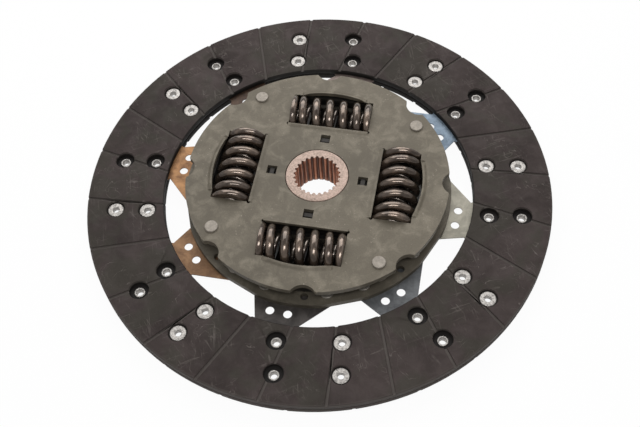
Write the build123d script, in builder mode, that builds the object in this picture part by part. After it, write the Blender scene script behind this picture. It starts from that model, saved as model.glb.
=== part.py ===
from build123d import *

import os
from math import asin, cos, degrees, radians, sin

# A dry clutch disc with a coil-spring torsion damper.
# Frame: Z is the gearbox shaft's axis, +Z leaves the damper's cover plate, and the
# origin lies on that axis in the middle of the cushion sheet, between the two linings.
# Lengths are in mm and angles in degrees, counted from +X, seen from +Z.
# Damper springs lie square to X and Y.

# friction linings
lining_radius = 120.0
lining_bore_radius = 80.4
lining_thickness = 3.25
lining_chamfer = 0.45
groove_count = 24
groove_angle = 18.4  # direction of the first groove
groove_offset = 18.8  # each groove passes the axis at this distance
groove_width = 1.5
groove_depth = 0.9

# rivets that hold the linings, two rows on each half of a segment's paddle
row_places = (0.629, 0.217)  # where each row lies across the lining, from bore to rim
row_spreads = (14.0, 12.45)  # angle from the paddle's centre line
lining_left_under_head = 1.3
shank_radius = 2.05
rivet_wall = 0.5
head_flange = 1.95  # the head's rim outside the shank
head_thickness = 0.85
head_dish = 0.45  # the countersink at the bore's mouth
head_room = 0.75  # between the head and its well
tail_roll = 0.65  # the rolled end outside the shank
tail_height = 0.9
tail_room = 2.2  # for the tool that rolls the tail

# cushion segments
segment_count = 8
paddle_angle = 30.4
sheet = 0.7
paddle_half_angle = 21.5
paddle_rim_inset = 2.5  # from the lining's rim
paddle_bore_inset = 3.1  # from the lining's bore
neck_lead = 10.15  # from the paddle's centre line to the neck's
neck_mouth_inset = 1.1  # inside the lining's bore
neck_mouth_angles = (-7.55, 7.8)  # both from the neck's centre line
neck_flare = 1.6
root_corner_angles = (-14.6, 28.4)
root_corner_margin = 1.2  # outside the row of root rivets
root_relief_room = 0.55  # around a stop pin's head
neck_hole_radius = 2.15
neck_hole_inset = 6.1  # from the neck's mouth
neck_hole_spread = 3.5

# rivets that hold the segments under the back plate
root_rivet_angles = (-9.2, 19.1)  # from the neck's centre line
root_rivet_radius = 2.5
root_rivet_head_radius = 3.3
root_rivet_front_head = 0.85
root_rivet_rear_head = 1.3

# hub and its collar
spline_teeth = 26
spline_minor_radius = 10.9
spline_tooth_height = 1.2
spline_space_angle = 3.05  # centre of the first tooth space
spline_space_root = 0.95  # width of a space at the major radius
spline_space_mouth = 1.95  # width of a space at the minor radius
spline_root_bow = 0.2  # how far the root of a space is rounded out
spline_lead_in = 0.4
hub_wall = 3.9
hub_chamfer = 0.6
hub_proud = 0.2  # above the cover plate
hub_tail = 3.0  # past the rear lining's face
collar_step = 2.6

# friction device, packed between the plates around the hub
rear_friction = 1.0
front_friction = 0.7
pressure_ring = 0.6
cone_lift = 0.75
cone_thickness = 0.5
cone_step = 1.2  # from the hub to the cone's inner edge
cone_to_tab = 0.9
bush_wall = 2.3
bush_drop = 1.4  # the bush's sleeve below the back plate
ring_step = 0.8  # from the collar to the washer's bore
tab_step = 7.6  # from the hub to the middle of a tab
tab_width = 4.4
tab_depth = 2.2
tab_rise = 1.8  # above the cover plate's inner face
tab_hole = 5.0
tab_to_rim = 3.8  # from the middle of a tab to the washers' rim

# damper springs
spring_count = 4
spring_length = 42.4
spring_end_play = 0.1
spring_radius = 11.5
spring_wire = 4.4
spring_turns = 6.5
spring_steps = 16  # straight runs per turn of the wire
spring_sides = 8
spring_room = 0.2  # around the spring, in the plates
spring_nesting = 0.3  # between the outer and the inner spring
inner_spring_wire = 2.5
inner_spring_turns = 9.5
inner_spring_steps = 10
inner_spring_sides = 6
closed_turns = 0.9  # at each end, wire against wire

# spring windows, the same in both plates
washer_to_lip = 1.1
sill_overlap = 1.3  # the window's straight edge reaches this far over the spring
window_bow = 2.8  # the bow's crown beyond the window's corners
window_crown_room = 0.9  # from the spring to the bow's crown
bow_end = 4.3  # plain stretch between the bow and the window's end
window_relief_radius = 0.9
sill_lip_height = 0.9
bow_lip_height = 1.5
lip_width = 2.6
lip_edge = 0.5  # width of the lip's flat crest
lip_foot = 0.15  # keeps the lip's foot a little steeper than the plate
lip_run_out = 3.2  # length over which the bow's lip sinks to the plate at each end
lip_to_root = 0.3  # from the bow's lip to the segments' roots
lip_to_rivet = 2.7  # from the bow's lip to the heads of the root rivets

# damper plates
plate = 3.0
back_plate_rim = 6.6  # outside the row of root rivets
flat_depth = 0.9
flat_lead = -19.2  # from the neck's centre line to the flat beside it
locating_hole_radius = 1.9
locating_hole_inset = 4.6  # from the back plate's rim
locating_hole_angle = 9.25  # from the neck's centre line
cover_inset = 1.5  # inside the back plate's rim
cover_bore_room = 0.4  # around the hub
notch_depth = 3.8
notch_radius = 6.8
notch_mouth_radius = 1.0

# stop pins
pin_angle = 40.3
pin_inset = 7.3  # from the cover plate's rim
pin_radius = 4.4
pin_shank_radius = 2.9
pin_head_radius = 3.35
pin_head_height = 1.1
pin_chamfer = 0.35

# hub flange
flange_thickness = 4.5
flange_inset = 5.4  # inside the cover plate's rim
flange_window_room = 1.0  # beyond the spring's side
flange_corner = 1.2
stop_notch_room = 0.8  # under a stop pin
turn_drive = 12.0  # the hub lags the plates by this, against +Z
turn_coast = 8.0
stop_play = 0.4  # degrees left before a pin meets its notch

# fits
running_fit = 0.05
press_clearance = 0.02
wall_clearance = 0.1

# lining rivets and their wells
row_radii = tuple(lining_bore_radius + place * (lining_radius - lining_bore_radius) for place in row_places)
rivet_bore_radius = shank_radius - rivet_wall
head_radius = shank_radius + head_flange
tail_radius = shank_radius + tail_roll
well_radius = head_radius + head_room
tail_well_radius = tail_radius + tail_room

# radii from the bore outwards
spline_major_radius = spline_minor_radius + spline_tooth_height
hub_radius = spline_major_radius + hub_wall
collar_radius = hub_radius + collar_step
cover_bore_radius = hub_radius + cover_bore_room
back_plate_bore_radius = hub_radius + bush_wall
ring_inner_radius = collar_radius + ring_step
tab_row_radius = hub_radius + tab_step
friction_outer_radius = tab_row_radius + tab_to_rim
cone_inner_radius = hub_radius + cone_step
cone_outer_radius = tab_row_radius - tab_depth / 2 - cone_to_tab
window_inner = friction_outer_radius + washer_to_lip + lip_width
spring_row_radius = window_inner - sill_overlap + spring_radius
inner_spring_radius = spring_radius - spring_wire - spring_nesting
window_bow_radius = spring_row_radius + spring_radius + window_crown_room
window_shoulder = window_bow_radius - window_bow
flange_window_inner = spring_row_radius - spring_radius - flange_window_room
flange_window_outer = spring_row_radius + spring_radius + flange_window_room
lip_outer_radius = window_bow_radius + lip_width
root_inner_radius = lip_outer_radius + lip_to_root
root_rivet_row_radius = lip_outer_radius + lip_to_rivet + root_rivet_head_radius
root_corner_radius = root_rivet_row_radius + root_corner_margin
back_plate_radius = root_rivet_row_radius + back_plate_rim
back_plate_flat = back_plate_radius - flat_depth
locating_hole_row_radius = back_plate_radius - locating_hole_inset
cover_radius = back_plate_radius - cover_inset
pin_row_radius = cover_radius - pin_inset
root_relief_radius = pin_head_radius + root_relief_room
flange_radius = cover_radius - flange_inset
stop_notch_radius = pin_row_radius - pin_radius - stop_notch_room
notch_row_radius = cover_radius - notch_depth + notch_radius
neck_mouth_radius = lining_bore_radius - neck_mouth_inset
neck_hole_row_radius = neck_mouth_radius - neck_hole_inset
paddle_inner_radius = lining_bore_radius + paddle_bore_inset
paddle_outer_radius = lining_radius - paddle_rim_inset

# levels, from the middle of the cushion sheet
sheet_top = sheet / 2
lining_face = sheet_top + lining_thickness
back_inner = sheet_top + plate
flange_rear = back_inner + rear_friction + running_fit
flange_front = flange_rear + flange_thickness
front_friction_rear = flange_front + running_fit
pressure_rear = front_friction_rear + front_friction
pressure_front = pressure_rear + pressure_ring
cover_inner = pressure_front + cone_lift
cover_top = cover_inner + plate
spring_axis = (sheet_top + cover_top) / 2
hub_front = cover_top + hub_proud
hub_rear = -lining_face - hub_tail
under_head = sheet_top + lining_left_under_head
head_top = under_head + head_thickness
tail_roll_start = -sheet_top - tail_height / 2

# planes and repeated angles
segment_step = 360 / segment_count
window_step = 360 / spring_count
neck_angle = paddle_angle + neck_lead
window_half = spring_length / 2 + spring_end_play
window_bow_half = window_half - bow_end
cover_plane = Plane.XY.offset(cover_inner)
back_plane = Plane(origin=(0, 0, back_inner), x_dir=(1, 0, 0), z_dir=(0, 0, -1))
flip_axis = Axis((0, 0, 0), (cos(radians(paddle_angle)), sin(radians(paddle_angle)), 0))

def polar(radius, angle):
    return (radius * cos(radians(angle)), radius * sin(radians(angle)))


def radial_plane(angle):
    # the half plane through the axis at an angle: x is the radius and y is the height
    across = radians(angle)
    return Plane(origin=(0, 0, 0), x_dir=(cos(across), sin(across), 0), z_dir=(sin(across), -cos(across), 0))


def arc_between(radius, start, end):
    return ThreePointArc(polar(radius, start), polar(radius, (start + end) / 2), polar(radius, end))


def save(piece, name):
    piece.label = name
    export_step(piece, f"parts/{name}.step")


os.makedirs("parts", exist_ok=True)

# ---- front lining: a ring with wells for the rivets and slanting grooves ----
with BuildPart() as front_lining:
    with BuildSketch(Plane.XZ):
        with BuildLine():
            Polyline(
                (lining_bore_radius, sheet_top),
                (lining_radius, sheet_top),
                (lining_radius, lining_face - lining_chamfer),
                (lining_radius - lining_chamfer, lining_face),
                (lining_bore_radius, lining_face),
                close=True,
            )
        make_face()
    revolve(axis=Axis.Z)
    with BuildSketch(Plane.XY.offset(lining_face)):
        with PolarLocations(0, groove_count, start_angle=groove_angle):
            with Locations(((lining_bore_radius + lining_radius) / 2, groove_offset)):
                Rectangle(1.3 * (lining_radius - lining_bore_radius), groove_width)
    extrude(amount=-groove_depth, mode=Mode.SUBTRACT)
    for row_radius, spread in zip(row_radii, row_spreads):
        with BuildSketch(Plane.XY.offset(lining_face)):
            with PolarLocations(row_radius, segment_count, start_angle=paddle_angle - spread):
                Circle(well_radius)
        extrude(amount=-(lining_thickness - lining_left_under_head), mode=Mode.SUBTRACT)
        with BuildSketch(Plane.XY.offset(sheet_top)):
            with PolarLocations(row_radius, segment_count, start_angle=paddle_angle - spread):
                Circle(shank_radius + wall_clearance)
            with PolarLocations(row_radius, segment_count, start_angle=paddle_angle + spread):
                Circle(tail_well_radius)
        extrude(amount=lining_thickness, mode=Mode.SUBTRACT)
save(front_lining.part, "front_lining")

# the rear lining is the same moulding turned over about a paddle's centre line
rear_lining = front_lining.part.rotate(flip_axis, 180)
save(rear_lining, "rear_lining")

# ---- tubular rivets of the front lining, rolled over behind the sheet ----
with BuildPart() as front_rivets:
    with BuildSketch(Plane.XZ):
        with BuildLine():
            Polyline(
                (tail_radius, tail_roll_start),
                (tail_radius, -sheet_top),
                (shank_radius, -sheet_top),
                (shank_radius, under_head),
                (head_radius, under_head),
                (head_radius, head_top),
                (rivet_bore_radius + head_dish, head_top),
                (rivet_bore_radius, head_top - head_dish),
                (rivet_bore_radius, tail_roll_start),
            )
            ThreePointArc(
                (rivet_bore_radius, tail_roll_start),
                ((rivet_bore_radius + tail_radius) / 2, -sheet_top - tail_height),
                (tail_radius, tail_roll_start),
            )
        make_face()
    rivet = revolve(axis=Axis.Z, mode=Mode.PRIVATE)
    for row_radius, spread in zip(row_radii, row_spreads):
        with PolarLocations(row_radius, segment_count, start_angle=paddle_angle - spread):
            add(rivet)
save(front_rivets.part, "front_lining_rivets")

rear_rivets = front_rivets.part.rotate(flip_axis, 180)
save(rear_rivets, "rear_lining_rivets")


# ---- cushion segments: a paddle between the linings, a neck, and a root under the back plate ----
def make_segment(index):
    paddle = paddle_angle + index * segment_step
    neck = neck_angle + index * segment_step
    low_edge, high_edge = paddle - paddle_half_angle, paddle + paddle_half_angle
    low_mouth, high_mouth = (neck + angle for angle in neck_mouth_angles)
    low_root, high_root = (neck + angle for angle in root_corner_angles)
    with BuildPart() as segment:
        with BuildSketch(Plane.XY.offset(-sheet_top)):
            with BuildLine():
                arc_between(paddle_outer_radius, low_edge, high_edge)
                Polyline(polar(paddle_outer_radius, high_edge), polar(paddle_inner_radius, high_edge))
                arc_between(paddle_inner_radius, high_edge, high_mouth + neck_flare)
                Polyline(
                    polar(paddle_inner_radius, high_mouth + neck_flare),
                    polar(neck_mouth_radius, high_mouth),
                    polar(root_corner_radius, high_root),
                    polar(root_inner_radius, high_root),
                )
                arc_between(root_inner_radius, high_root, low_root)
                Polyline(
                    polar(root_inner_radius, low_root),
                    polar(root_corner_radius, low_root),
                    polar(neck_mouth_radius, low_mouth),
                    polar(paddle_inner_radius, low_mouth - neck_flare),
                )
                arc_between(paddle_inner_radius, low_mouth - neck_flare, low_edge)
                Polyline(polar(paddle_inner_radius, low_edge), polar(paddle_outer_radius, low_edge))
            make_face()
            for row_radius, spread in zip(row_radii, row_spreads):
                with Locations(polar(row_radius, paddle - spread), polar(row_radius, paddle + spread)):
                    Circle(shank_radius + wall_clearance, mode=Mode.SUBTRACT)
            with Locations(*(polar(neck_hole_row_radius, neck + side * neck_hole_spread) for side in (-1, 1))):
                Circle(neck_hole_radius, mode=Mode.SUBTRACT)
            with Locations(*(polar(root_rivet_row_radius, neck + angle) for angle in root_rivet_angles)):
                Circle(root_rivet_radius + wall_clearance, mode=Mode.SUBTRACT)
            with Locations(polar(pin_row_radius, neck + pin_angle - neck_angle)):
                Circle(root_relief_radius, mode=Mode.SUBTRACT)
        extrude(amount=sheet)
    return segment.part


for index in range(segment_count):
    save(make_segment(index), f"cushion_segment_{index + 1}")

# ---- rivets through the segments' roots and the back plate ----
with BuildPart() as segment_rivets:
    for angle in root_rivet_angles:
        for base, radius, height in (
            (-sheet_top - root_rivet_rear_head, root_rivet_head_radius, root_rivet_rear_head),
            (-sheet_top, root_rivet_radius, sheet + plate),
            (back_inner, root_rivet_head_radius, root_rivet_front_head),
        ):
            with BuildSketch(Plane.XY.offset(base)):
                with PolarLocations(root_rivet_row_radius, segment_count, start_angle=neck_angle + angle):
                    Circle(radius)
            extrude(amount=height)
save(segment_rivets.part, "segment_rivets")

# ---- one spring window, cut through a plate whose inner face is at z = 0, with room for the spring's side ----
with BuildPart() as window_cut:
    with BuildSketch():
        Circle(window_bow_radius)
        with Locations(((window_inner + window_bow_radius) / 2, 0)):
            Rectangle(window_bow_radius - window_inner, 2 * window_bow_half, mode=Mode.INTERSECT)
        with Locations(((window_inner + window_shoulder) / 2, 0)):
            Rectangle(window_shoulder - window_inner, 2 * window_half)
        with Locations((window_inner, window_half), (window_inner, -window_half)):
            Circle(window_relief_radius)
    extrude(amount=plate)
    with BuildSketch(Plane.XZ):
        with Locations((spring_row_radius, spring_axis - cover_inner)):
            Circle(spring_radius + spring_room)
    extrude(amount=window_half, both=True)


# ---- the bent-up lips along its straight edge and its bow; toward is +1 where the metal lies outside the edge ----
def lip_profile(plane, edge, toward, height):
    with BuildSketch(plane) as profile:
        with BuildLine():
            swell = Bezier(
                (edge + toward * lip_edge, plate + height),
                (edge + toward * (lip_edge + lip_width) / 2, plate + height),
                (edge + toward * (lip_edge + lip_width) / 2, plate + lip_foot),
                (edge + toward * lip_width, plate),
            )
            Polyline(
                swell @ 1,
                (edge + toward * lip_width, plate - height),
                (edge, plate - height),
                (edge, plate + height),
                swell @ 0,
            )
        make_face()
    return profile.sketch


bow_half_angle = degrees(asin(window_bow_half / window_bow_radius))
bow_start = radial_plane(-bow_half_angle)
bow_lip = lip_profile(bow_start, window_bow_radius, 1, bow_lip_height)
with BuildSketch(bow_start) as bow_hollow:
    with BuildLine():
        Polyline(
            (window_bow_radius, 0),
            (lip_outer_radius - lip_edge, 0),
            (window_bow_radius, bow_lip_height),
            close=True,
        )
    make_face()
with BuildPart() as window_lips:
    extrude(lip_profile(radial_plane(0), window_inner, -1, sill_lip_height), amount=window_half, both=True)
    revolve(bow_lip, axis=Axis.Z, revolution_arc=2 * bow_half_angle)
    with BuildSketch(Plane.YZ.offset(window_bow_radius)):
        for side in (-1, 1):
            with BuildLine():
                Polyline(
                    (side * window_bow_half, plate),
                    (side * (window_bow_half - lip_run_out), plate + bow_lip_height),
                    (side * window_bow_half, plate + bow_lip_height),
                    close=True,
                )
            make_face()
    extrude(amount=window_bow + lip_width, both=True, mode=Mode.SUBTRACT)
with BuildPart() as lip_hollow:
    revolve(bow_hollow.sketch, axis=Axis.Z, revolution_arc=2 * bow_half_angle)

# ---- back plate, with flats between the segments' necks ----
with BuildPart() as back_plate:
    with BuildSketch(back_plane):
        Circle(back_plate_radius)
        with PolarLocations(0, segment_count, start_angle=-(neck_angle + flat_lead)):
            with Locations((back_plate_flat + back_plate_radius / 2, 0)):
                Rectangle(back_plate_radius, back_plate_radius, mode=Mode.SUBTRACT)
        Circle(back_plate_bore_radius, mode=Mode.SUBTRACT)
        with PolarLocations(pin_row_radius, spring_count, start_angle=-pin_angle):
            Circle(pin_shank_radius + press_clearance, mode=Mode.SUBTRACT)
        for angle in root_rivet_angles:
            with PolarLocations(root_rivet_row_radius, segment_count, start_angle=-(neck_angle + angle)):
                Circle(root_rivet_radius + wall_clearance, mode=Mode.SUBTRACT)
        with PolarLocations(
            locating_hole_row_radius, segment_count, start_angle=-(neck_angle + locating_hole_angle)
        ):
            Circle(locating_hole_radius, mode=Mode.SUBTRACT)
    extrude(amount=plate)
    with Locations(back_plane):
        with PolarLocations(0, spring_count):
            add(window_lips.part)
            add(lip_hollow.part, mode=Mode.SUBTRACT)
            add(window_cut.part, mode=Mode.SUBTRACT)
save(back_plate.part, "back_plate")

# ---- cover plate, with the same windows, round notches in its rim and four square holes ----
with BuildPart() as cover_plate:
    with BuildSketch(cover_plane) as outline:
        Circle(cover_radius)
        with PolarLocations(notch_row_radius, segment_count, start_angle=neck_angle + locating_hole_angle):
            Circle(notch_radius, mode=Mode.SUBTRACT)
        notch_mouths = outline.vertices().filter_by(lambda vertex: abs(vertex.Y) > wall_clearance)
        fillet(notch_mouths, notch_mouth_radius)
        Circle(cover_bore_radius, mode=Mode.SUBTRACT)
        with PolarLocations(tab_row_radius, spring_count):
            Rectangle(tab_hole, tab_hole, mode=Mode.SUBTRACT)
        with PolarLocations(pin_row_radius, spring_count, start_angle=pin_angle):
            Circle(pin_shank_radius + press_clearance, mode=Mode.SUBTRACT)
    extrude(amount=plate)
    with Locations(cover_plane):
        with PolarLocations(0, spring_count):
            add(window_lips.part)
            add(lip_hollow.part, mode=Mode.SUBTRACT)
            add(window_cut.part, mode=Mode.SUBTRACT)
save(cover_plate.part, "cover_plate")

# ---- stop pins: shouldered distance rivets, peened over on both plates ----
with BuildPart() as stop_pins:
    with BuildSketch(radial_plane(pin_angle)):
        with BuildLine():
            Polyline(
                (pin_row_radius, sheet_top - pin_head_height),
                (pin_row_radius + pin_head_radius - pin_chamfer, sheet_top - pin_head_height),
                (pin_row_radius + pin_head_radius, sheet_top - pin_head_height + pin_chamfer),
                (pin_row_radius + pin_head_radius, sheet_top),
                (pin_row_radius + pin_shank_radius, sheet_top),
                (pin_row_radius + pin_shank_radius, back_inner),
                (pin_row_radius + pin_radius, back_inner),
                (pin_row_radius + pin_radius, cover_inner),
                (pin_row_radius + pin_shank_radius, cover_inner),
                (pin_row_radius + pin_shank_radius, cover_top),
                (pin_row_radius + pin_head_radius, cover_top),
                (pin_row_radius + pin_head_radius, cover_top + pin_head_height - pin_chamfer),
                (pin_row_radius + pin_head_radius - pin_chamfer, cover_top + pin_head_height),
                (pin_row_radius, cover_top + pin_head_height),
                close=True,
            )
        make_face()
    pin = revolve(axis=Axis((*polar(pin_row_radius, pin_angle), 0), (0, 0, 1)), mode=Mode.PRIVATE)
    with PolarLocations(0, spring_count):
        add(pin)
save(stop_pins.part, "stop_pins")

# ---- hub flange: spring windows, and four notches that the stop pins travel in ----
pin_half_angle = degrees(asin(pin_radius / pin_row_radius))
notch_low = pin_angle - turn_coast - pin_half_angle - stop_play
notch_high = pin_angle + turn_drive + pin_half_angle + stop_play
with BuildSketch() as stop_notch:
    with BuildLine():
        arc_between(stop_notch_radius, notch_low, notch_high)
        Polyline(
            polar(stop_notch_radius, notch_high),
            polar(2 * flange_radius, notch_high),
            polar(2 * flange_radius, notch_low),
            polar(stop_notch_radius, notch_low),
        )
    make_face()
with BuildPart() as hub_flange:
    with BuildSketch(Plane.XY.offset(flange_rear)):
        Circle(flange_radius)
        Circle(collar_radius + press_clearance, mode=Mode.SUBTRACT)
        with PolarLocations(0, spring_count):
            add(stop_notch.sketch, mode=Mode.SUBTRACT)
            with Locations(((flange_window_inner + flange_window_outer) / 2, 0)):
                RectangleRounded(
                    flange_window_outer - flange_window_inner, 2 * window_half, flange_corner, mode=Mode.SUBTRACT
                )
    extrude(amount=flange_thickness)
save(hub_flange.part, "hub_flange")

# ---- splined hub: a collar for the flange, and straight tooth spaces through the bore ----
with BuildSketch() as tooth_space:
    with BuildLine():
        root_edge = spline_major_radius - spline_root_bow
        flanks = Polyline(
            (root_edge, spline_space_root / 2),
            (spline_minor_radius, spline_space_mouth / 2),
            (spline_minor_radius - spline_space_mouth, spline_space_mouth / 2),
            (spline_minor_radius - spline_space_mouth, -spline_space_mouth / 2),
            (spline_minor_radius, -spline_space_mouth / 2),
            (root_edge, -spline_space_root / 2),
        )
        ThreePointArc(flanks @ 1, (spline_major_radius, 0), flanks @ 0)
    make_face()
with BuildPart() as splined_hub:
    with BuildSketch(Plane.XZ):
        with BuildLine():
            Polyline(
                (spline_minor_radius + spline_lead_in, hub_rear),
                (hub_radius - hub_chamfer, hub_rear),
                (hub_radius, hub_rear + hub_chamfer),
                (hub_radius, flange_rear),
                (collar_radius, flange_rear),
                (collar_radius, flange_front),
                (hub_radius, flange_front),
                (hub_radius, hub_front - hub_chamfer),
                (hub_radius - hub_chamfer, hub_front),
                (spline_minor_radius + spline_lead_in, hub_front),
                (spline_minor_radius, hub_front - spline_lead_in),
                (spline_minor_radius, hub_rear + spline_lead_in),
                close=True,
            )
        make_face()
    revolve(axis=Axis.Z)
    with BuildSketch(Plane.XY.offset(hub_rear)):
        with PolarLocations(0, spline_teeth, start_angle=spline_space_angle):
            add(tooth_space.sketch)
    extrude(amount=hub_front - hub_rear, mode=Mode.SUBTRACT)
save(splined_hub.part, "splined_hub")

# ---- friction device: rear bush, front washer, pressure ring with tabs, cone spring ----
with BuildPart() as rear_friction_bush:
    with BuildSketch(Plane.XZ):
        with BuildLine():
            Polyline(
                (hub_radius + running_fit, sheet_top - bush_drop),
                (back_plate_bore_radius - press_clearance, sheet_top - bush_drop),
                (back_plate_bore_radius - press_clearance, back_inner),
                (friction_outer_radius, back_inner),
                (friction_outer_radius, back_inner + rear_friction),
                (hub_radius + running_fit, back_inner + rear_friction),
                close=True,
            )
        make_face()
    revolve(axis=Axis.Z)
save(rear_friction_bush.part, "rear_friction_bush")

with BuildPart() as front_friction_washer:
    with BuildSketch(Plane.XY.offset(front_friction_rear)):
        Circle(friction_outer_radius)
        Circle(ring_inner_radius, mode=Mode.SUBTRACT)
    extrude(amount=front_friction)
save(front_friction_washer.part, "front_friction_washer")

with BuildPart() as tabbed_ring:
    with BuildSketch(Plane.XY.offset(pressure_rear)):
        Circle(friction_outer_radius)
        Circle(ring_inner_radius - (ring_inner_radius - hub_radius) / 2, mode=Mode.SUBTRACT)
    extrude(amount=pressure_ring)
    with BuildSketch(Plane.XY.offset(pressure_front)):
        with PolarLocations(tab_row_radius, spring_count):
            Rectangle(tab_depth, tab_width)
    extrude(amount=cover_inner + tab_rise - pressure_front)
save(tabbed_ring.part, "pressure_ring")

with BuildPart() as cone_spring:
    with BuildSketch(Plane.XZ):
        with BuildLine():
            Polyline(
                (cone_inner_radius, cover_inner - cone_thickness),
                (cone_outer_radius, pressure_front),
                (cone_outer_radius, pressure_front + cone_thickness),
                (cone_inner_radius, cover_inner),
                close=True,
            )
        make_face()
    revolve(axis=Axis.Z)
save(cone_spring.part, "cone_spring")


# ---- damper springs: closed and ground ends, with a second spring of the other hand inside ----
def make_spring(length, radius, wire, turns, steps, sides, hand):
    # the wire's centre line advances a wire per turn in the closed turns, and evenly between
    mean_radius = radius - wire / 2
    travel = length - wire / 4
    closed = closed_turns * wire
    pitch = (travel - 2 * closed) / (turns - 2 * closed_turns)
    points = []
    for step in range(round(turns * steps) + 1):
        turn = step / steps
        if turn < closed_turns:
            along = turn * wire
        elif turn < turns - closed_turns:
            along = closed + (turn - closed_turns) * pitch
        else:
            along = travel - (turns - turn) * wire
        across, up = polar(mean_radius, hand * 360 * turn)
        points.append((across, up, along - travel / 2))
    with BuildPart() as coil:
        with BuildLine() as centre_line:
            Polyline(*points)
        start = Plane(origin=points[0], x_dir=(1, 0, 0), z_dir=Vector(*points[1]) - Vector(*points[0]))
        with BuildSketch(start):
            RegularPolygon(wire / 2, sides)
        sweep(path=centre_line.line, transition=Transition.RIGHT)
        Cylinder(2 * radius, length, mode=Mode.INTERSECT)
    return coil.part


outer_coil = make_spring(spring_length, spring_radius, spring_wire, spring_turns, spring_steps, spring_sides, 1)
inner_coil = make_spring(
    spring_length,
    inner_spring_radius,
    inner_spring_wire,
    inner_spring_turns,
    inner_spring_steps,
    inner_spring_sides,
    -1,
)
for index in range(spring_count):
    angle = index * window_step
    seat = Plane(
        origin=(*polar(spring_row_radius, angle), spring_axis),
        x_dir=(cos(radians(angle)), sin(radians(angle)), 0),
        z_dir=(sin(radians(angle)), -cos(radians(angle)), 0),
    )
    save(outer_coil.moved(seat.location), f"damper_spring_{index + 1}")
    save(inner_coil.moved(seat.location), f"inner_spring_{index + 1}")
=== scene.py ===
import bmesh
import bpy
import numpy as np
from math import cos, pi, radians, sin, tau
from mathutils import Matrix, Vector


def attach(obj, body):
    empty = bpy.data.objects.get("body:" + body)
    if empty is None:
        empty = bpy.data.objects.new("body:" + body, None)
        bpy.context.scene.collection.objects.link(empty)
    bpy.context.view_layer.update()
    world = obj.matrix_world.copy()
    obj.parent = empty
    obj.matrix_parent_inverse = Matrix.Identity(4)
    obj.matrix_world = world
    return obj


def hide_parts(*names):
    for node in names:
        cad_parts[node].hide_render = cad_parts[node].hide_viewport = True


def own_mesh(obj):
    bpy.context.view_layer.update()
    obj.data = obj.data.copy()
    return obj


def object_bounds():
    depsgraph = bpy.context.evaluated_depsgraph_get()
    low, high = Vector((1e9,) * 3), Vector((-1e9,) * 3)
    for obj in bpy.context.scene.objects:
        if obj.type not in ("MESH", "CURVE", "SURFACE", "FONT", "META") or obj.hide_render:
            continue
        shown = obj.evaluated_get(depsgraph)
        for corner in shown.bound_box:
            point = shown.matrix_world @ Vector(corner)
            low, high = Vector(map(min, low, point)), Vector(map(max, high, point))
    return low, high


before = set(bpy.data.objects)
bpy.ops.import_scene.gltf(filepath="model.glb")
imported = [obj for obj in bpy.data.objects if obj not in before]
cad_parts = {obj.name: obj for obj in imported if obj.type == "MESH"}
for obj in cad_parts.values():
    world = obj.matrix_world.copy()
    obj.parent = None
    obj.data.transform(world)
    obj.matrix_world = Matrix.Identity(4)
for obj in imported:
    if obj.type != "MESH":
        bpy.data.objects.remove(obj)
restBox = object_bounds()
print("frame loaded:", len(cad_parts), "nodes")

mm = 0.001


class Value:
    # wraps a socket so that arithmetic on it adds the Math nodes
    def __init__(self, graph, socket):
        self.graph = graph
        self.socket = socket

    def math(self, operation, *others):
        inputs = {index: item for index, item in enumerate((self, *others))}
        return self.graph.node("ShaderNodeMath", {"operation": operation}, inputs)

    def __add__(self, other):
        return self.math("ADD", other)

    def __sub__(self, other):
        return self.math("SUBTRACT", other)

    def __mul__(self, other):
        return self.math("MULTIPLY", other)

    def __pow__(self, other):
        return self.math("POWER", other)

    __radd__ = __add__
    __rmul__ = __mul__

    def __rsub__(self, other):
        return self.graph.node("ShaderNodeMath", {"operation": "SUBTRACT"}, {0: other, 1: self})

    def clamp(self):
        return self.graph.node("ShaderNodeMath", {"operation": "ADD", "use_clamp": True}, {0: self, 1: 0.0})

    def ramp(self, low, high):
        # 0 at low and 1 at high, smooth between
        return self.graph.node(
            "ShaderNodeMapRange",
            {"interpolation_type": "SMOOTHSTEP"},
            {"Value": self, "From Min": low, "From Max": high, "To Min": 0.0, "To Max": 1.0},
        )

    def band(self, low, high, edge):
        # 1 between low and high, falling to 0 over the edge's width on both sides
        return self.ramp(low - edge, low) * (1 - self.ramp(high, high + edge))


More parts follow.
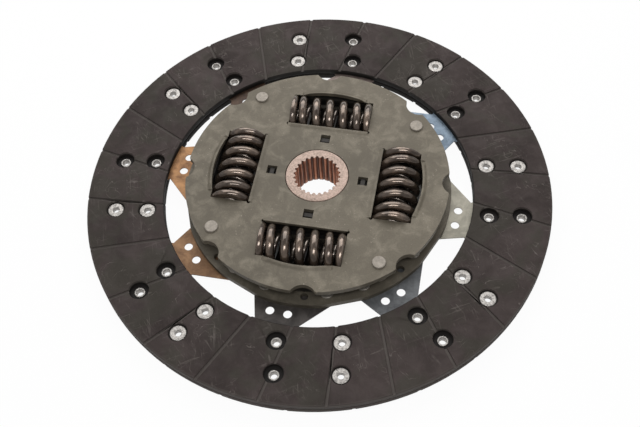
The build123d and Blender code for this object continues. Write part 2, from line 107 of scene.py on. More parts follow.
class Graph:
    # one material and its nodes
    def __init__(self, name):
        self.material = bpy.data.materials.new(name)
        self.material.use_nodes = True
        self.tree = self.material.node_tree
        self.tree.nodes.clear()
        self.out = self.tree.nodes.new("ShaderNodeOutputMaterial")

    def node(self, kind, settings=None, sockets=None, output=0):
        made = self.tree.nodes.new(kind)
        for key, setting in (settings or {}).items():
            setattr(made, key, setting)
        for key, item in (sockets or {}).items():
            if isinstance(item, Value):
                self.tree.links.new(item.socket, made.inputs[key])
            else:
                made.inputs[key].default_value = item
        return Value(self, made.outputs[output])

    def place(self, turn=0.0):
        # object coordinates in metres, turned about the hub's axis
        here = self.node("ShaderNodeTexCoord", output="Object")
        return self.node(
            "ShaderNodeMapping", {"vector_type": "TEXTURE"}, {"Vector": here, "Rotation": (0, 0, turn)}
        )

    def parts(self, vector):
        made = self.tree.nodes.new("ShaderNodeSeparateXYZ")
        self.tree.links.new(vector.socket, made.inputs[0])
        return [Value(self, made.outputs[index]) for index in range(3)]

    def radius(self, vector):
        # distance from the hub's axis
        x, y = self.parts(vector)[:2]
        return (x * x + y * y) ** 0.5

    def height(self, vector):
        # height along the hub's axis, 0 in the middle of the sheet between the linings
        return self.parts(vector)[2]

    def join(self, x, y, z):
        return self.node("ShaderNodeCombineXYZ", sockets={0: x, 1: y, 2: z})

    def noise(self, vector, scale, detail, roughness, distortion=0.0):
        sockets = {"Vector": vector, "Scale": scale, "Detail": detail, "Roughness": roughness}
        return self.node("ShaderNodeTexNoise", sockets={**sockets, "Distortion": distortion})

    def mix(self, share, first, second):
        # the first colour at a share of 0 and the second at 1; sockets 6 and 7 are the Mix node's two colours
        first, second = (item if isinstance(item, Value) else (*item, 1.0) for item in (first, second))
        return self.node("ShaderNodeMix", {"data_type": "RGBA"}, {0: share, 6: first, 7: second}, output=2)

    def bump(self, height, strength, distance):
        sockets = {"Height": height, "Strength": strength, "Distance": distance}
        return self.node("ShaderNodeBump", sockets=sockets)

    def surface(self, colour, roughness, metallic, normal, **fixed):
        sockets = {"Base Color": colour, "Roughness": roughness, "Metallic": metallic, "Normal": normal}
        shader = self.node("ShaderNodeBsdfPrincipled", sockets={**sockets, **fixed})
        self.tree.links.new(shader.socket, self.out.inputs[0])
        return self.material


def gridFaces(rows, columns, closed):
    # quads that join each ring of points to the next, and the last ring to the first where the grid is closed
    index = np.arange(rows * columns).reshape(rows, columns)
    if closed:
        index = np.concatenate([index, index[:1]])
    index = np.concatenate([index, index[:, :1]], axis=1)
    corners = [index[:-1, :-1], index[:-1, 1:], index[1:, 1:], index[1:, :-1]]
    return np.stack(corners, axis=-1).reshape(-1, 4)


def gridMesh(name, grids, closed):
    # one mesh from grids of one shape, each a row of rings; one that isn't closed gets a cap at each end
    grids = np.asarray(grids)
    count, rows, columns = grids.shape[:3]
    single = gridFaces(rows, columns, closed)
    faces = []
    for number in range(count):
        start = number * rows * columns
        faces += (single + start).tolist()
        if not closed:
            first = np.arange(start, start + columns)
            faces += [first[::-1].tolist(), (first + (rows - 1) * columns).tolist()]
    mesh = bpy.data.meshes.new(name)
    mesh.from_pydata(grids.reshape(-1, 3).tolist(), [], faces)
    work = bmesh.new()
    work.from_mesh(mesh)
    bmesh.ops.recalc_face_normals(work, faces=work.faces)
    work.to_mesh(mesh)
    work.free()
    return mesh


def addObject(name, contents):
    made = bpy.data.objects.new(name, contents)
    bpy.context.scene.collection.objects.link(made)
    return made


def addPiece(name, mesh, body, material, slotName, *nodes):
    # a finished piece on its body, in place of the part's own nodes
    piece = addObject(name, mesh)
    mesh.materials.clear()
    mesh.materials.append(material)
    mesh.shade_smooth()
    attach(piece, body)
    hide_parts(*nodes)
    return piece


finish = {
    "mergeGap": 0.002 * mm,  # points of the part's loose triangles closer than this become one
    "sharpAngle": radians(30),  # faces that meet at more than this stay apart in the shading
    "faceAreaWeight": 100,
    "bevelSegments": 2,
    "cornerSteps": 4,  # points along each rounded corner of a rivet's profile
    "sameSpot": 1e-6,  # points of a profile closer than this, in millimetres, become one
}


def dress(nodeName, pieceName, body, material, slotName, edge=None, flatten=None):
    # the node's own shape, merged, with its sharp edges kept crisp, or cut round where an edge width is given
    # flatten is (level, share): what stands above the level keeps that share of its height
    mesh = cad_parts[nodeName].data.copy()
    work = bmesh.new()
    work.from_mesh(mesh)
    bmesh.ops.remove_doubles(work, verts=work.verts, dist=finish["mergeGap"])
    if flatten:
        level, share = flatten
        for vertex in work.verts:
            vertex.co.z = min(vertex.co.z, level + (vertex.co.z - level) * share)
    work.to_mesh(mesh)
    work.free()
    piece = addPiece(pieceName, mesh, body, material, slotName, nodeName)
    if edge is None:
        mesh.set_sharp_from_angle(angle=finish["sharpAngle"])
        weighted = piece.modifiers.new("flatNormals", "WEIGHTED_NORMAL")
        weighted.mode = "FACE_AREA"
        weighted.weight = finish["faceAreaWeight"]
        weighted.keep_sharp = True
        return piece
    bevel = piece.modifiers.new("edges", "BEVEL")
    bevel.width = edge
    bevel.segments = finish["bevelSegments"]
    bevel.limit_method = "ANGLE"
    bevel.angle_limit = finish["sharpAngle"]
    bevel.use_clamp_overlap = False
    bevel.harden_normals = True
    return piece


def paint(nodeName, material):
    # a look on the node itself, which keeps its own mesh
    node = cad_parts[nodeName]
    node.data.materials.clear()
    node.data.materials.append(material)


def softLoop(corners):
    # corners are (radius, height, rounding); each becomes a quadratic curve between points on its two sides,
    # (1-t)^2 start + 2t(1-t) corner + t^2 end
    loop = np.array([corner[:2] for corner in corners], dtype=float)
    rounding = np.array([corner[2] for corner in corners], dtype=float)[:, None]
    before, after = np.roll(loop, 1, axis=0) - loop, np.roll(loop, -1, axis=0) - loop
    before /= np.linalg.norm(before, axis=1, keepdims=True)
    after /= np.linalg.norm(after, axis=1, keepdims=True)
    start, end = loop + before * rounding, loop + after * rounding
    t = np.linspace(0, 1, finish["cornerSteps"])[None, :, None]
    curve = (1 - t) ** 2 * start[:, None] + 2 * t * (1 - t) * loop[:, None] + t**2 * end[:, None]
    points = curve.reshape(-1, 2)
    keep = np.linalg.norm(points - np.roll(points, 1, axis=0), axis=1) > finish["sameSpot"]
    return points[keep]


def lathe(profile, centre, around):
    # a profile of radius and height swept round an upright axis through the centre
    swing = np.linspace(0, tau, around, endpoint=False)
    x = profile[:, :1] * np.cos(swing) + centre[0]
    y = profile[:, :1] * np.sin(swing) + centre[1]
    z = np.broadcast_to(profile[:, 1:], x.shape)
    return np.stack([x, y, z], axis=-1) * mm


def polar(radius, angle):
    # x and y of a point at the radius, round by the angle in degrees
    return radius * cos(radians(angle)), radius * sin(radians(angle))


camera = {
    "turn": 14.2,  # the damper's springs stand this far round from the camera's own axes
    "elevation": 57.05,
    "roll": -4.323,
    "distance": 486.5 * mm,
    "right": -0.986 * mm,
    "up": 11.92 * mm,
    "lens": 52.35,
    "sensor": 36.0,
    "nearest": 0.01,
}


def makeCamera():
    # stands back from the hub along its line of sight, and is then turned about the hub's axis
    tilt, roll, turn = (radians(camera[key]) for key in ("elevation", "roll", "turn"))
    right = Vector((1, 0, 0))
    up = Vector((0, sin(tilt), cos(tilt)))
    back = Vector((0, -cos(tilt), sin(tilt)))
    rolledRight = right * cos(roll) + up * sin(roll)
    rolledUp = up * cos(roll) - right * sin(roll)
    place = back * camera["distance"] - rolledRight * camera["right"] - rolledUp * camera["up"]
    axes = Matrix((rolledRight, rolledUp, back)).transposed().to_4x4()
    lens = bpy.data.cameras.new("camera")
    lens.lens = camera["lens"]
    lens.sensor_width = camera["sensor"]
    lens.clip_start = camera["nearest"]
    eye = addObject("camera", lens)
    eye.matrix_world = Matrix.Rotation(turn, 4, "Z") @ Matrix.Translation(place) @ axes
    bpy.context.scene.camera = eye


makeCamera()
print("camera placed")

studio = {
    "floorSize": 3.0,
    "floorGap": 0.02 * mm,
    "floorTone": (0.8, 0.8, 0.8, 1),
    "whiteShare": 0.95,  # how much of the floor's look is plain white, so the shadow stays faint
    "shadeInner": 17 * mm,  # under the damper, between these radii, the floor shows only its own light
    "shadeOuter": 60 * mm,
    "shadeFade": 3 * mm,
    "worldLight": 0.36,
    "lamps": {
        "back": {"power": 2.85, "size": 0.75, "depth": 0.50, "place": (0.0, 0.38, 0.42)},
        "front": {"power": 1.5, "size": 0.46, "depth": 0.14, "place": (0.0, -0.28, 0.56)},
        "fill": {"power": 0.45, "size": 0.80, "depth": 0.80, "place": (-0.75, 0.05, 0.55)},
        "side": {"power": 0.5, "size": 0.60, "depth": 0.60, "place": (0.80, 0.25, 0.55)},
    },
}


def makeFloor():
    # a plain square whose white shows to the camera, to gloss and through clear things
    low = restBox[0][2] - studio["floorGap"]
    half = studio["floorSize"] / 2
    mesh = bpy.data.meshes.new("floor")
    corners = [(-half, -half, low), (half, -half, low), (half, half, low), (-half, half, low)]
    mesh.from_pydata(corners, [], [(0, 1, 2, 3)])
    floor = addObject("floor", mesh)
    graph = Graph("floorWhite")
    seen, inGloss, through = (
        graph.node("ShaderNodeLightPath", output=f"Is {kind} Ray")
        for kind in ("Camera", "Glossy", "Transmission")
    )
    radius = graph.radius(graph.place())
    under = radius.band(studio["shadeInner"], studio["shadeOuter"], studio["shadeFade"])
    share = (seen + inGloss + through).clamp() * studio["whiteShare"] * (1 - under)
    plain = graph.node("ShaderNodeBsdfDiffuse", sockets={"Color": studio["floorTone"]})
    white = graph.node("ShaderNodeEmission", sockets={"Color": (1, 1, 1, 1), "Strength": 1.0})
    both = graph.node("ShaderNodeMixShader", sockets={0: share, 1: plain, 2: white})
    graph.tree.links.new(both.socket, graph.out.inputs[0])
    mesh.materials.append(graph.material)


def makeWorld():
    # soft white light from all round; the camera sees plain white
    world = bpy.data.worlds.new("studio")
    bpy.context.scene.world = world
    world.use_nodes = True
    tree = world.node_tree
    tree.nodes.clear()
    out = tree.nodes.new("ShaderNodeOutputWorld")
    rays = tree.nodes.new("ShaderNodeLightPath")
    blend = tree.nodes.new("ShaderNodeMixShader")
    tree.links.new(rays.outputs["Is Camera Ray"], blend.inputs[0])
    for index, strength in ((1, studio["worldLight"]), (2, 1.0)):
        light = tree.nodes.new("ShaderNodeBackground")
        light.inputs[0].default_value = (1, 1, 1, 1)
        light.inputs[1].default_value = strength
        tree.links.new(light.outputs[0], blend.inputs[index])
    tree.links.new(blend.outputs[0], out.inputs[0])


def makeLamps():
    # soft boxes that look at the hub, placed in the camera's own axes
    for name, facts in studio["lamps"].items():
        lamp = bpy.data.lights.new(name, "AREA")
        lamp.shape = "RECTANGLE"
        lamp.size = facts["size"]
        lamp.size_y = facts["depth"]
        lamp.energy = facts["power"]
        stand = addObject(name, lamp)
        place = Matrix.Rotation(radians(camera["turn"]), 4, "Z") @ Vector(facts["place"])
        stand.location = place
        stand.rotation_euler = (-place).to_track_quat("-Z", "Y").to_euler()


makeFloor()
makeWorld()
makeLamps()
bpy.context.scene.view_settings.view_transform = "Standard"
print("studio made")


lining = {
    "edge": 0.28 * mm,
    "bore": 80.4 * mm,
    "rim": 120 * mm,
    "grooveFloor": 2.7 * mm,
    "grooveBand": (-0.2 * mm, 0.5 * mm),  # lighter between these heights over the grooves' floor: dust, and painted light against the grooves' shade
    "grooveFade": 0.1 * mm,
    "rimBand": (1.2 * mm, 0.2 * mm),  # the rim turns lighter between these distances from the edge
    "wallBand": (0.05 * mm, 0.5 * mm),  # painted shade: the bore's wall is painted black, fading out between these distances past it
    "wellBand": (2.0 * mm, 2.5 * mm),  # painted shade: the rivet wells are painted black below these heights
    "yarns": ((0.55, 1.0), (-0.75, 1.15), (1.9, 0.9)),  # direction and fineness of each lay of fibres
    "yarnStretch": 0.10,
    "yarnScale": 950,
    "bumpDepth": 0.22 * mm,
    "specular": 0.28,
    "dark": (0.024, 0.0170, 0.0155),
    "light": (0.050, 0.0370, 0.0345),
    "green": (0.033, 0.0310, 0.0225),
    # grit dust, and painted light that lifts the shade in the grooves
    "dustAndLight": (0.080, 0.069, 0.062),
    "fibre": (0.125, 0.108, 0.098),
    # painted shade for the bore's wall and the rivet wells
    "paintedShadeBlack": (0.008, 0.007, 0.006),
}


def liningMaterial(name):
    # wound yarn in dark resin: cloudy tones, short crossing fibres, fine grit and a few light scratches; the
    # bore's wall and the rivet wells are painted black as shade, and the grooves are lightened as dust and as
    # painted light
    graph = Graph(name)
    place = graph.place()
    radius = graph.radius(place)
    height = graph.height(place).math("ABSOLUTE")
    cloud = graph.noise(place, 26, 4.0, 0.6)
    patch = graph.noise(place, 120, 5.0, 0.65, 0.6)
    fibres = 0.0
    for turn, fineness in lining["yarns"]:
        along, over, upward = graph.parts(graph.place(turn))
        stretched = graph.join(along * lining["yarnStretch"], over, upward)
        strand = graph.noise(stretched, lining["yarnScale"] * fineness, 2.0, 0.5, 0.9)
        fibres = strand.ramp(0.60, 0.74) + fibres
    fibres = (fibres * graph.noise(place, 70, 3.0, 0.6).ramp(0.42, 0.68)).clamp()
    grit = graph.noise(place, 2400, 2.0, 0.7)
    swirl = graph.noise(place, 55, 2.0, 0.5, 2.5)
    scratches = swirl.band(0.494, 0.500, 0.004) * graph.noise(place, 90, 2.0, 0.5).ramp(0.52, 0.66)
    tone = cloud.ramp(0.34, 0.66) * 0.55 + patch.ramp(0.3, 0.7) * 0.45
    colour = graph.mix(tone, lining["dark"], lining["light"])
    hue = graph.noise(place, 38, 3.0, 0.6, 0.4)
    colour = graph.mix(hue.ramp(0.46, 0.60) * 0.55, colour, lining["green"])
    colour = graph.mix(fibres * 0.50, colour, lining["fibre"])
    colour = graph.mix(scratches * 0.70, colour, lining["fibre"])
    colour = graph.mix(grit.ramp(0.58, 0.80) * 0.42, colour, lining["dustAndLight"])
    grooveLow, grooveHigh = (lining["grooveFloor"] + offset for offset in lining["grooveBand"])
    grooveDustAndLight = height.band(grooveLow, grooveHigh, lining["grooveFade"])
    rim = radius.ramp(*(lining["rim"] - inset for inset in lining["rimBand"]))
    # the grooves' floor is lightened as dust and as painted light against their shade, and the rim is lighter
    colour = graph.mix((grooveDustAndLight * 0.75 + rim * 0.45).clamp(), colour, lining["dustAndLight"])
    # painted shade: the bore's wall and the floors of the rivet wells are painted near black, as the shade
    # that falls in them
    wallShade = 1 - radius.ramp(*(lining["bore"] + inset for inset in lining["wallBand"]))
    deep = 1 - height.ramp(*lining["wellBand"])
    colour = graph.mix((wallShade * 0.8 + deep * (1 - rim) * 0.7).clamp(), colour, lining["paintedShadeBlack"])
    relief = fibres * 0.5 + grit * 0.35 + patch * 0.35 - scratches * 0.4
    bump = graph.bump(relief, 0.35, lining["bumpDepth"])
    roughness = 0.80 - patch.ramp(0.4, 0.75) * 0.12
    return graph.surface(colour, roughness, 0.0, bump, **{"Specular IOR Level": lining["specular"]})


for side in ("front", "rear"):
    material = liningMaterial(side + "Lining")
    dress(side + "_lining", side + "LiningRing", "disc", material, "friction_lining", lining["edge"])
print("linings made")


plates = {
    "deep": (0.078, 0.066, 0.047),
    "base": (0.138, 0.118, 0.087),
    "pale": (0.240, 0.210, 0.160),
    "bare": (0.46, 0.41, 0.34),
    # painted shade for where the plates face each other
    "inside": (0.012, 0.010, 0.008),
    "innerLow": 3.36 * mm,  # between these heights the plates face each other
    "innerHigh": 11.0 * mm,
    "innerFade": 0.2 * mm,
    "dampedRadius": 58 * mm,  # and inside this radius they are painted dark as shade
    "dampedFade": 2 * mm,
    "crystalDepth": 0.10 * mm,
    "coverShade": 1.0,
    # painted shade: the back plate is a darker copy of the same sheet, as it lies below the cover
    "backShade": 0.78,
    "top": 14 * mm,
    "lipShare": 0.6,  # the windows' lips roll over more gently than the part's own
}


def plateMaterial(name, shade):
    # phosphated sheet: soft clouds, fine crystals and pale flecks; painted dark as shade where the plates
    # face inwards
    graph = Graph(name)
    place = graph.place()
    radius, height = graph.radius(place), graph.height(place)
    tones = {
        tone: tuple(channel * shade for channel in plates[tone]) for tone in ("deep", "base", "pale", "bare")
    }
    cloud = graph.noise(place, 20, 4.0, 0.6)
    mottle = graph.noise(place, 130, 5.0, 0.62, 0.5)
    crystals = graph.noise(place, 1500, 3.0, 0.75)
    flecks = graph.noise(place, 900, 2.0, 0.5).ramp(0.66, 0.76)
    flecks = flecks * graph.noise(place, 45, 2.0, 0.5).ramp(0.45, 0.65)
    colour = graph.mix(cloud.ramp(0.25, 0.72) * 0.7 + 0.15, tones["deep"], tones["base"])
    colour = graph.mix(mottle.ramp(0.42, 0.72) * 0.50, colour, tones["pale"])
    colour = graph.mix(crystals.ramp(0.38, 0.66) * 0.34, colour, tones["deep"])
    colour = graph.mix(flecks * 0.40, colour, tones["bare"])
    # painted shade: between the plates' facing sides and inside the damped radius the sheet is painted near
    # black
    fade = plates["innerFade"]
    inside = height.band(plates["innerLow"] - fade, plates["innerHigh"] + fade, fade)
    inside = inside * (1 - radius.ramp(plates["dampedRadius"], plates["dampedRadius"] + plates["dampedFade"]))
    colour = graph.mix(inside, colour, plates["inside"])
    roughness = 0.50 + crystals * 0.18 - mottle.ramp(0.5, 0.8) * 0.08
    bump = graph.bump(crystals + mottle * 0.6, 0.20, plates["crystalDepth"])
    return graph.surface(colour, roughness, 0.25, bump)


coverSteel = plateMaterial("coverSteel", plates["coverShade"])
backSteel = plateMaterial("backSteel", plates["backShade"])
lips = (plates["top"], plates["lipShare"])
dress("cover_plate", "coverPlate", "disc", coverSteel, "plate_steel", flatten=lips)
dress("back_plate", "backPlate", "disc", backSteel, "plate_steel")


finePitting = 0.06 * mm  # depth of the bump on plain metal and plastic, on the segments and on the wire


def plainMaterial(name, facts):
    # one metal or plastic in two tones
    graph = Graph(name)
    place = graph.place()
    mottle = graph.noise(place, facts["mottleScale"], 4.0, 0.6, 0.3)
    grain = graph.noise(place, 1400, 2.0, 0.6)
    colour = graph.mix(mottle.ramp(0.3, 0.7), facts["dark"], facts["light"])
    roughness = facts["rough"] + mottle * 0.12 - 0.06 + grain * 0.08
    return graph.surface(colour, roughness, facts["metallic"], graph.bump(grain + mottle, 0.15, finePitting))


# painted shade: the parts deep inside the damper are painted near black, as the shade that falls there; the
# plastic is dark of its own too
innerParts = {
    "shadedInnerSteel": {
        "nodes": ("hub_flange", "pressure_ring", "cone_spring"),
        "dark": (0.010, 0.008, 0.006),
        "light": (0.026, 0.022, 0.018),
        "mottleScale": 260,
        "rough": 0.55,
        "metallic": 0.3,
    },
    "darkShadedPlastic": {
        "nodes": ("rear_friction_bush", "front_friction_washer"),
        "dark": (0.008, 0.008, 0.007),
        "light": (0.018, 0.017, 0.015),
        "mottleScale": 260,
        "rough": 0.7,
        "metallic": 0.0,
    },
}

for name, facts in innerParts.items():
    material = plainMaterial(name, facts)
    for node in facts["nodes"]:
        paint(node, material)
print("plates made")


hub = {
    # the shape's lengths are in millimetres, and become metres when the mesh is made
    "teeth": 26,
    "firstSpace": 3.05,  # angle of the first tooth space
    "tip": 10.9,  # radius over the tooth tips
    "root": 12.1,  # radius at the middle of a tooth space
    "rootHalf": 0.475,  # half the width of a space at its root
    "mouthHalf": 0.975,  # and at its mouth
    "rootBow": 0.2,  # how much less deep a space is at the sides of its root
    "topLead": 0.22,  # the tooth tips are opened by this much at the front end
    "lowLead": 0.8,  # and by this much at the rear end, in a steeper cone
    # the bore's grid: distances from a space's middle, and heights from the front end to the rear
    "offsets": (0, 0.16, 0.32, 0.475, 0.6, 0.72, 0.85, 0.975, 1.08, 1.24, 1.39),
    "heights": (14.2, 14.1, 13.95, 12.5, 10, 7, 4, 1, -2, -4.5, -5.15, -5.5, -5.9, -6.3, -6.6),
    "outer": [  # radius and height of the outside, from the rear end to the front
        (13.2, -6.6), (15.2, -6.6), (15.7, -6.6), (16, -6.3), (16, 4.4), (18.6, 4.4), (18.6, 8.9),
        (16, 8.9), (16, 13.9), (15.85, 14.12), (15.6, 14.2), (14.2, 14.2), (12.9, 14.2),
    ],
    "face": (0.47, 0.345, 0.285),
    "faceDark": (0.235, 0.175, 0.140),
    "toothLight": (0.680, 0.300, 0.170),
    "toothDark": (0.230, 0.092, 0.052),
    # painted shade at the roots of the tooth spaces
    "rootShade": (0.03, 0.012, 0.008),
    "oiled": (0.3, 0.1),  # the teeth turn red-brown between these depths below the front end
    "boreFade": (-0.05, 0.1),  # and their colour ends between these distances from the roots
    "darkFrom": 0.2,  # painted shade darkens the spaces from this far past the tips to the roots
    "gritDepth": 0.10 * mm,
}


def boreRadius(offset, height):
    # tooth flanks by the distance from a space's middle, opened by a cone at each end
    half, mouth = hub["rootHalf"], hub["mouthHalf"]
    floor = hub["root"] - hub["rootBow"] * np.clip(offset / half, 0, 1) ** 2
    drop = hub["root"] - hub["rootBow"] - hub["tip"]
    teeth = floor - drop * np.clip((offset - half) / (mouth - half), 0, 1)
    top = hub["tip"] + hub["topLead"] - (hub["heights"][0] - height)
    low = hub["tip"] + hub["lowLead"] - (height - hub["heights"][-1]) / 2
    return np.maximum(teeth, np.maximum(top, low))


def makeHub():
    # the hub's outline carried round its axis, x = radius cos(angle), y = radius sin(angle), with the bore's
    # radius following the teeth; a space leaves out its first offset, where the space before it ends
    middle = (hub["tip"] + hub["root"]) / 2
    half = np.array(hub["offsets"])
    offsets = np.concatenate([-half[:0:-1][1:], half])
    first = radians(hub["firstSpace"])
    angles = np.concatenate(
        [first + tau * tooth / hub["teeth"] + offsets / middle for tooth in range(hub["teeth"])]
    )
    distance = np.tile(np.abs(offsets), hub["teeth"])
    around = np.stack([np.cos(angles), np.sin(angles)], 1)
    outline = [(np.full_like(distance, radius), height) for radius, height in hub["outer"]]
    outline += [(boreRadius(distance, height), height) for height in hub["heights"]]
    rings = [
        np.concatenate([around * radius[:, None], np.full((len(radius), 1), height)], 1) * mm
        for radius, height in outline
    ]
    mesh = gridMesh("splinedHub", [np.stack(rings, 1)], closed=True)
    addPiece("splinedHub", mesh, "hub", hubMaterial(), "hub_steel", "splined_hub")
    mesh.set_sharp_from_angle(angle=finish["sharpAngle"])


def hubMaterial():
    # turned face with coarse grit, and red-brown oiled teeth in the bore, with painted shade in the spaces
    # between them
    graph = Graph("hubSteel")
    place = graph.place()
    x, y, z = graph.parts(place)
    radius = graph.radius(place)
    speckle = graph.noise(place, 1100, 3.0, 0.75)
    cloud = graph.noise(place, 110, 3.0, 0.6)
    streak = graph.noise(graph.join(x * 5, y * 5, z * 0.5), 130, 3.0, 0.6)
    grit = speckle.ramp(0.40, 0.66) * 0.80 + cloud.ramp(0.35, 0.7) * 0.2
    face = graph.mix(grit, hub["face"], hub["faceDark"])
    teeth = graph.mix(streak.ramp(0.35, 0.65), hub["toothDark"], hub["toothLight"])
    # painted shade in the tooth spaces
    root = radius.ramp(hub["tip"] * mm + hub["darkFrom"] * mm, hub["root"] * mm)
    teeth = graph.mix(root * 0.85, teeth, hub["rootShade"])
    inBore = 1 - radius.ramp(*(hub["root"] * mm + offset * mm for offset in hub["boreFade"]))
    below = 1 - z.ramp(*(hub["heights"][0] * mm - depth * mm for depth in hub["oiled"]))
    colour = graph.mix(inBore * below, face, teeth)
    return graph.surface(colour, 0.42 + speckle * 0.2, 0.25, graph.bump(speckle, 0.3, hub["gritDepth"]))


makeHub()
print("hub made")


segments = {
    "count": 8,
    "first": 40.55,  # angle of the first neck
    "clamped": 81.3 * mm,  # the sheet lies between the linings past this radius
    "clampedFade": 1.5 * mm,
    # painted shade where the sheet lies between the linings
    "clampedShade": (0.012, 0.010, 0.009),
    "gritGain": 1.8,  # how much brighter than the light tone the grit is
    "tones": [  # dark and light tone of each segment's temper colour
        ((0.085, 0.115, 0.150), (0.22, 0.28, 0.345)),
        ((0.135, 0.102, 0.090), (0.230, 0.180, 0.162)),
        ((0.030, 0.017, 0.011), (0.085, 0.050, 0.032)),
        ((0.120, 0.055, 0.022), (0.36, 0.190, 0.082)),
        ((0.110, 0.056, 0.026), (0.250, 0.140, 0.070)),
        ((0.030, 0.026, 0.024), (0.075, 0.066, 0.061)),
        ((0.060, 0.062, 0.066), (0.140, 0.146, 0.152)),
        ((0.190, 0.178, 0.145), (0.33, 0.31, 0.255)),
    ],
}


def segmentMaterial(name, dark, light):
    # tempered spring steel: clouds of temper colour and fine grit, dull, and painted black as shade between
    # the linings
    graph = Graph(name)
    place = graph.place()
    radius = graph.radius(place)
    cloud = graph.noise(place, 95, 4.0, 0.62, 0.8)
    mottle = graph.noise(place, 420, 4.0, 0.6, 0.3)
    grit = graph.noise(place, 1900, 2.0, 0.6)
    bright = tuple(segments["gritGain"] * channel for channel in light)
    colour = graph.mix(cloud.ramp(0.32, 0.68) * 0.7 + mottle.ramp(0.35, 0.7) * 0.3, dark, light)
    colour = graph.mix(grit.ramp(0.62, 0.78) * 0.22, colour, bright)
    # painted shade: the sheet between the linings, seen down the rivet wells, is painted near black
    clamped = radius.ramp(segments["clamped"], segments["clamped"] + segments["clampedFade"])
    colour = graph.mix(clamped, colour, segments["clampedShade"])
    roughness = 0.38 + mottle * 0.16 + clamped * 0.2
    return graph.surface(colour, roughness, 0.55, graph.bump(grit + mottle, 0.15, finePitting))


for index, (dark, light) in enumerate(segments["tones"]):
    paint(f"cushion_segment_{index + 1}", segmentMaterial(f"temper{index + 1}", dark, light))
print("segments painted")


liningRivets = {
    # the shape's lengths are in millimetres, and become metres when the mesh is made
    "paddle": 30.4,  # angle of the first paddle's centre line
    "rows": ((105.308, 14.0), (88.993, 12.45)),  # each row's radius and its angle from the centre line
    "around": 40,
    "profile": [  # radius, height and rounding, from the tail's bore round the outside to the head's bore
        (1.80, -1.05, 0.30),
        (2.70, -1.05, 0.40),
        (2.70, -0.36, 0.10),
        (2.05, -0.36, 0.00),
        (2.05, 1.65, 0.00),
        (4.00, 1.65, 0.10),
        (4.00, 2.40, 0.32),
        (2.05, 2.40, 0.12),
        (1.66, 2.22, 0.08),
    ],
    "dark": (0.20, 0.188, 0.177),
    "light": (0.52, 0.495, 0.465),
    "grain": (0.42, 0.40, 0.38),
    "grainDepth": 0.10 * mm,
}


def rivetMaterial(name):
    # bright plated steel, finely mottled and worn
    graph = Graph(name)
    place = graph.place()
    mottle = graph.noise(place, 950, 4.0, 0.65, 0.3)
    grain = graph.noise(place, 2600, 2.0, 0.6)
    colour = graph.mix(mottle.ramp(0.32, 0.62), liningRivets["dark"], liningRivets["light"])
    colour = graph.mix(grain.ramp(0.5, 0.75) * 0.5, colour, liningRivets["grain"])
    bump = graph.bump(grain + mottle * 1.5, 0.30, liningRivets["grainDepth"])
    return graph.surface(colour, 0.40 + mottle * 0.22, 0.7, bump)


def makeLiningRivets():
    # the rear rivets are the front ones turned over about a paddle's centre line
    profile = softLoop(liningRivets["profile"])
    pitch = 360 / segments["count"]
    for side, turned in (("front", 1), ("rear", -1)):
        centres = [
            polar(radius, liningRivets["paddle"] + pitch * index - turned * spread)
            for radius, spread in liningRivets["rows"]
            for index in range(segments["count"])
        ]
        grids = [lathe(profile * (1, turned), centre, liningRivets["around"]) for centre in centres]
        mesh = gridMesh(side + "Rivets", grids, closed=True)
        node = side + "_lining_rivets"
        addPiece(side + "LiningRivets", mesh, "disc", rivetMaterial(side + "Rivet"), "lining_rivet", node)


makeLiningRivets()


plateRivets = {
    # the shape's lengths are in millimetres, and become metres when the mesh is made
    "around": 40,
    "root": {
        "rowRadius": 62.3,
        "angles": (-9.2, 19.1),  # round from a neck's angle
        "profile": [
            (0.02, -1.65, 0), (3.3, -1.65, 0.45), (3.3, -0.36, 0.1), (2.5, -0.36, 0), (2.5, 3.36, 0),
            (3.3, 3.36, 0.08), (3.3, 4.2, 0.34), (0.02, 4.2, 0),
        ],
        "dark": (0.15, 0.135, 0.115),
        "light": (0.30, 0.275, 0.24),
        "mottleScale": 260,
        "rough": 0.40,
        "metallic": 0.5,
    },
    "pin": {
        "count": 4,
        "rowRadius": 60.1,
        "angle": 40.3,
        "profile": [
            (0.02, -0.75, 0), (3.35, -0.75, 0.4), (3.35, 0.34, 0), (2.9, 0.34, 0), (2.9, 3.36, 0),
            (4.4, 3.36, 0.2), (4.4, 10.99, 0.2), (2.9, 10.99, 0), (2.9, 14.01, 0), (3.35, 14.01, 0.05),
            (3.35, 15.1, 0.42), (2.6, 15.1, 0.2), (0.02, 15.02, 0),
        ],
        "dark": (0.215, 0.190, 0.160),
        "light": (0.32, 0.285, 0.242),
        "mottleScale": 700,
        "rough": 0.5,
        "metallic": 0.3,
    },
}


def makePlateRivets():
    # solid rivets: a profile from the tail's middle to the head's, swept round, with a small cap at each end
    root, pin = plateRivets["root"], plateRivets["pin"]
    rootCentres = [
        polar(root["rowRadius"], segments["first"] + 360 / segments["count"] * index + angle)
        for angle in root["angles"]
        for index in range(segments["count"])
    ]
    pinCentres = [
        polar(pin["rowRadius"], pin["angle"] + 360 / pin["count"] * index) for index in range(pin["count"])
    ]
    for name, facts, centres, steel, node in (
        ("rootRivets", root, rootCentres, "rootRivetSteel", "segment_rivets"),
        ("stopPins", pin, pinCentres, "pinSteel", "stop_pins"),
    ):
        profile = softLoop(facts["profile"])
        first = int(np.argmin(np.abs(profile - facts["profile"][0][:2]).sum(axis=1)))
        profile = np.roll(profile, -first, axis=0)
        grids = [lathe(profile, centre, plateRivets["around"]) for centre in centres]
        mesh = gridMesh(name, grids, closed=False)
        addPiece(name + "Set", mesh, "disc", plainMaterial(steel, facts), "rivet_steel", node)


makePlateRivets()
print("rivets made")


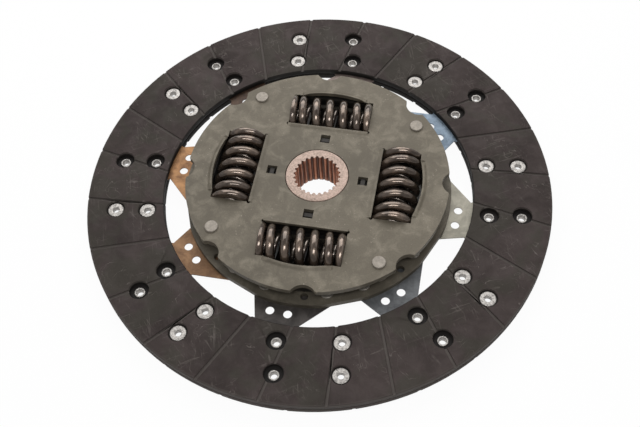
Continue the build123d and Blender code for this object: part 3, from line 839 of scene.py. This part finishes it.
spring = {
    "length": 42.4 * mm,
    "rowRadius": 41.3 * mm,
    "axisHeight": 7.175 * mm,
    "outer": {
        "nodes": "damper_spring_",
        "radius": 11.5 * mm,
        "wire": 4.4 * mm,
        "turns": 6.7,
        "hand": 1,
        "around": 30,
        "along": 44,
        "steel": "springSteel",
        "dark": (0.070, 0.050, 0.037),
        "light": (0.21, 0.155, 0.118),
    },
    "inner": {
        "nodes": "inner_spring_",
        "radius": 6.8 * mm,
        "wire": 2.5 * mm,
        "turns": 9.7,
        "hand": -1,
        "around": 14,
        "along": 30,
        "steel": "innerSpringSteel",
        "dark": (0.10, 0.08, 0.066),
        "light": (0.20, 0.165, 0.138),
    },
    "closed": 0.95,  # turns at each end that lie wire on wire
    "opening": 0.5,  # turns over which the lead grows, half of them before the closed turns end
    "endRoom": 0.18,  # what the ends stand past the length before they are cut, as a share of the wire
    "firstCrest": 0.25,  # the turn at which the wire first passes the top
    "turned": (False, False, True, True),  # springs set in end for end
    "keep": 0.742,  # share of the length left at the widest turn, so that the ends stay near their windows
    "lowTone": (0.018, 0.014, 0.011),
    "lowToneHeights": (4 * mm, 13 * mm),  # the wire is darker and rougher below the first and keeps its own look above the second
    "oil": {"Coat Weight": 0.9, "Coat Roughness": 0.12},
}


def coilPoints(kind, angle, turned):
    # a wire circle carried along a helix whose lead grows smoothly from the closed ends to the open middle,
    # then cut flat at both ends
    facts = spring[kind]
    turns, wire = facts["turns"], facts["wire"]
    length, opening = spring["length"], spring["opening"]
    turn = np.linspace(0, turns, int(turns * facts["along"]) + 1)
    edge = np.minimum(turn, turns - turn)
    share = np.clip((edge - spring["closed"] + opening / 2) / opening, 0, 1)
    share = share * share * (3 - 2 * share)
    travel = length + wire * spring["endRoom"]
    step = np.diff(turn)
    middle = (share[1:] + share[:-1]) / 2
    # a closed turn rises by one wire, and the open ones share what is left
    openLead = (travel - wire * np.sum(step * (1 - middle))) / np.sum(step * middle)
    rise = np.concatenate([[0], np.cumsum(step * (wire + (openLead - wire) * middle))])
    rise -= rise[-1] / 2
    swing = pi / 2 + facts["hand"] * tau * (turn - spring["firstCrest"])
    meanRadius = facts["radius"] - wire / 2
    lead = np.gradient(rise, turn)
    across = np.stack([np.cos(swing), np.sin(swing), np.zeros_like(swing)], 1)
    tangent = np.stack(
        [-np.sin(swing) * tau * meanRadius, np.cos(swing) * tau * meanRadius, lead * facts["hand"]], 1
    )
    tangent /= np.linalg.norm(tangent, axis=1, keepdims=True)
    binormal = np.cross(tangent, across)
    around = np.linspace(0, tau, facts["around"], endpoint=False)
    centre = np.stack([meanRadius * np.cos(swing), meanRadius * np.sin(swing), rise], 1)
    ring = (
        centre[:, None, :]
        + wire / 2 * np.cos(around)[None, :, None] * across[:, None, :]
        + wire / 2 * np.sin(around)[None, :, None] * binormal[:, None, :]
    )
    ring[..., 2] = np.clip(ring[..., 2], -length / 2, length / 2)
    if turned:
        ring = ring * (-1, 1, -1)
    # local x is the damper's radius, local y its axis, local z runs clockwise along the spring
    radial = np.array([cos(angle), sin(angle), 0])
    along = np.array([sin(angle), -cos(angle), 0])
    upward = np.array([0, 0, 1])
    seat = spring["rowRadius"] * radial + spring["axisHeight"] * upward
    return seat + ring[..., :1] * radial + ring[..., 1:2] * upward + ring[..., 2:] * along


def springMaterial(facts):
    # oiled bronze-brown wire, mottled, with a clear gloss, darker and rougher low down
    graph = Graph(facts["steel"])
    place = graph.place()
    height = graph.height(place)
    mottle = graph.noise(place, 170, 4.0, 0.6, 0.5)
    grain = graph.noise(place, 1700, 2.0, 0.6)
    colour = graph.mix(mottle.ramp(0.35, 0.7), facts["dark"], facts["light"])
    # darker and rougher towards the bottom
    low = 1 - height.ramp(*spring["lowToneHeights"])
    colour = graph.mix(low * 0.75, colour, spring["lowTone"])
    roughness = 0.17 + mottle.ramp(0.4, 0.8) * 0.10 + grain * 0.04 + low * 0.2
    bump = graph.bump(grain * 0.6 + mottle, 0.08, finePitting)
    return graph.surface(colour, roughness, 0.8, bump, **spring["oil"])


def makeSprings():
    # four double springs, an outer and an inner coil for each
    steels = {kind: springMaterial(spring[kind]) for kind in ("outer", "inner")}
    for index, turned in enumerate(spring["turned"]):
        angle = index * pi / 2
        for kind, steel in steels.items():
            node = f"{spring[kind]['nodes']}{index + 1}"
            points = coilPoints(kind, angle, turned)
            mesh = gridMesh(f"{kind}Wire{index + 1}", [points], closed=False)
            piece = addPiece(f"{kind}Coil{index + 1}", mesh, "springs", steel, "spring_steel", node)
            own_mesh(piece)


makeSprings()
print("springs made")
